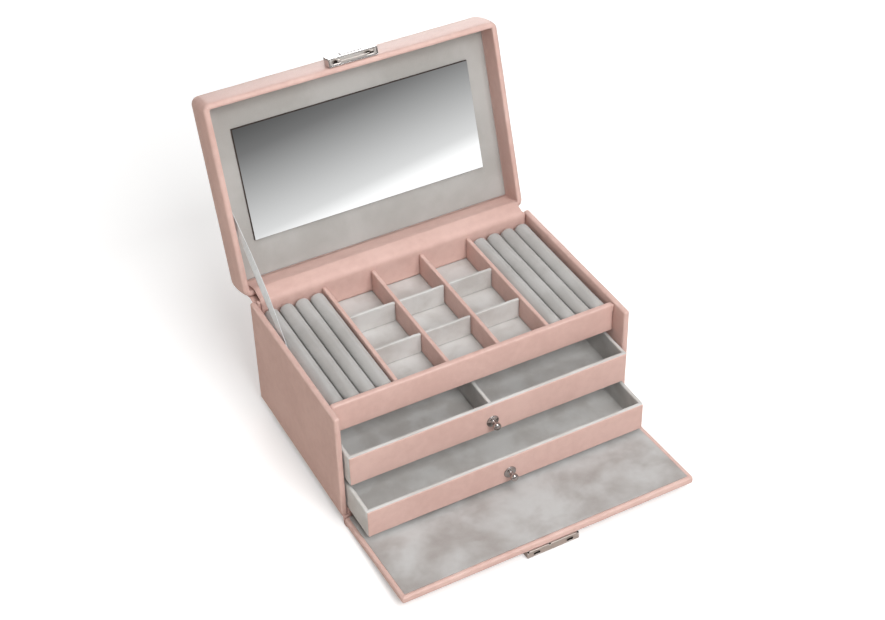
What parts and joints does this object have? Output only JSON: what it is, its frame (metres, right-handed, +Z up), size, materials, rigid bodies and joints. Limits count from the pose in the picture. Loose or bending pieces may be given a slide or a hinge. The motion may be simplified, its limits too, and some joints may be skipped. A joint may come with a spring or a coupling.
{
  "type": "jewellery chest with drawers",
  "caption": "Leather-covered jewellery chest with a mirrored lid, ring-roll tray, compartment grid, pull-out drawers and a drop-down front flap.",
  "frame": {"origin": "on the table, under the middle of the open chest (its bounding box); the case's own middle is 8.3 mm behind it", "axes": "+Z up, -Y towards the front flap, +X to the right seen from the front"},
  "size_m": [0.26, 0.3492, 0.273],
  "materials": {
    "pink_leather": "dusty pink fine-grained faux leather, satin sheen",
    "grey_velour": "soft grey short-pile velour, brushed mottling",
    "chrome": "bright polished chrome",
    "mirror_glass": "silvered glass with a bevelled edge",
    "satin_ribbon": "light grey satin ribbon",
    "spring_steel": "plain spring steel"
  },
  "bodies": {
    "case": {"base_board": "pink_leather", "left_side_panel": "pink_leather", "right_side_panel": "pink_leather", "back_panel": "pink_leather", "front_rail": "pink_leather", "foot_front_left": "chrome", "foot_front_right": "chrome", "foot_back_left": "chrome", "foot_back_right": "chrome", "drawer_shelf": "grey_velour", "tray_floor": "grey_velour", "divider_1": "pink_leather", "divider_2": "pink_leather", "divider_3": "pink_leather", "divider_4": "pink_leather", "cross_divider_1": "grey_velour", "cross_divider_2": "grey_velour", "cross_divider_3": "grey_velour", "cross_divider_4": "grey_velour", "cross_divider_5": "grey_velour", "cross_divider_6": "grey_velour", "ring_roll_left_1": "grey_velour", "ring_roll_left_2": "grey_velour", "ring_roll_left_3": "grey_velour", "ring_roll_left_4": "grey_velour", "ring_roll_right_1": "grey_velour", "ring_roll_right_2": "grey_velour", "ring_roll_right_3": "grey_velour", "ring_roll_right_4": "grey_velour", "inner_hinge_strip": "pink_leather", "back_hinge_strip": "pink_leather", "flap_hinge_strip": "pink_leather", "ribbon_stay": "satin_ribbon"},
    "lid": {"lid_top_board": "pink_leather", "lid_front_wall": "pink_leather", "lid_back_wall": "pink_leather", "lid_left_wall": "pink_leather", "lid_right_wall": "pink_leather", "lid_lining": "grey_velour", "mirror": "mirror_glass", "clasp_housing": "chrome", "hook_spring": "spring_steel"},
    "release_button": {"release_button": "chrome"},
    "hook_bar": {"hook_bar": "spring_steel"},
    "flap": {"flap_board": "pink_leather", "flap_lining": "grey_velour", "strike_plate": "chrome"},
    "upper_drawer": {"upper_drawer_front": "grey_velour", "upper_drawer_back": "grey_velour", "upper_drawer_left_wall": "grey_velour", "upper_drawer_right_wall": "grey_velour", "upper_drawer_floor": "grey_velour", "upper_drawer_knob": "chrome", "upper_drawer_divider": "grey_velour"},
    "lower_drawer": {"lower_drawer_front": "grey_velour", "lower_drawer_back": "grey_velour", "lower_drawer_left_wall": "grey_velour", "lower_drawer_right_wall": "grey_velour", "lower_drawer_floor": "grey_velour", "lower_drawer_knob": "chrome"}
  },
  "joints": [
    {"name": "lid_hinge", "type": "hinge", "parent": "case", "child": "lid", "pos_m": [0, 0.09128, 0.1059], "axis": [1, 0, 0], "range_deg": [0, 106.6], "deforming": ["inner_hinge_strip", "back_hinge_strip", "ribbon_stay"]},
    {"name": "flap_hinge", "type": "hinge", "parent": "case", "child": "flap", "pos_m": [0, -0.07212, 0.0071], "axis": [-1, 0, 0], "range_deg": [0, 86.3], "deforming": ["flap_hinge_strip"]},
    {"name": "upper_drawer_slide", "type": "slide", "parent": "case", "child": "upper_drawer", "axis": [0, 1, 0], "range_m": [0, 0.0235]},
    {"name": "lower_drawer_slide", "type": "slide", "parent": "case", "child": "lower_drawer", "axis": [0, 1, 0], "range_m": [0, 0.08]},
    {"name": "button_press", "type": "slide", "parent": "lid", "child": "release_button", "axis": [0, -0.2857, -0.9583], "range_m": [0, 0.0015], "stiffness_N_per_m": 300},
    {"name": "hook_slide", "type": "slide", "parent": "lid", "child": "hook_bar", "axis": [-1, 0, 0], "range_m": [0, 0.0015], "deforming": ["hook_spring"]}
  ],
  "couplings": [
    {"joint": "upper_drawer_slide", "follows": "flap_hinge", "m_per_rad": 0.015602},
    {"joint": "lower_drawer_slide", "follows": "flap_hinge", "m_per_rad": 0.053113},
    {"joint": "hook_slide", "follows": "button_press", "ratio": 1}
  ]
}
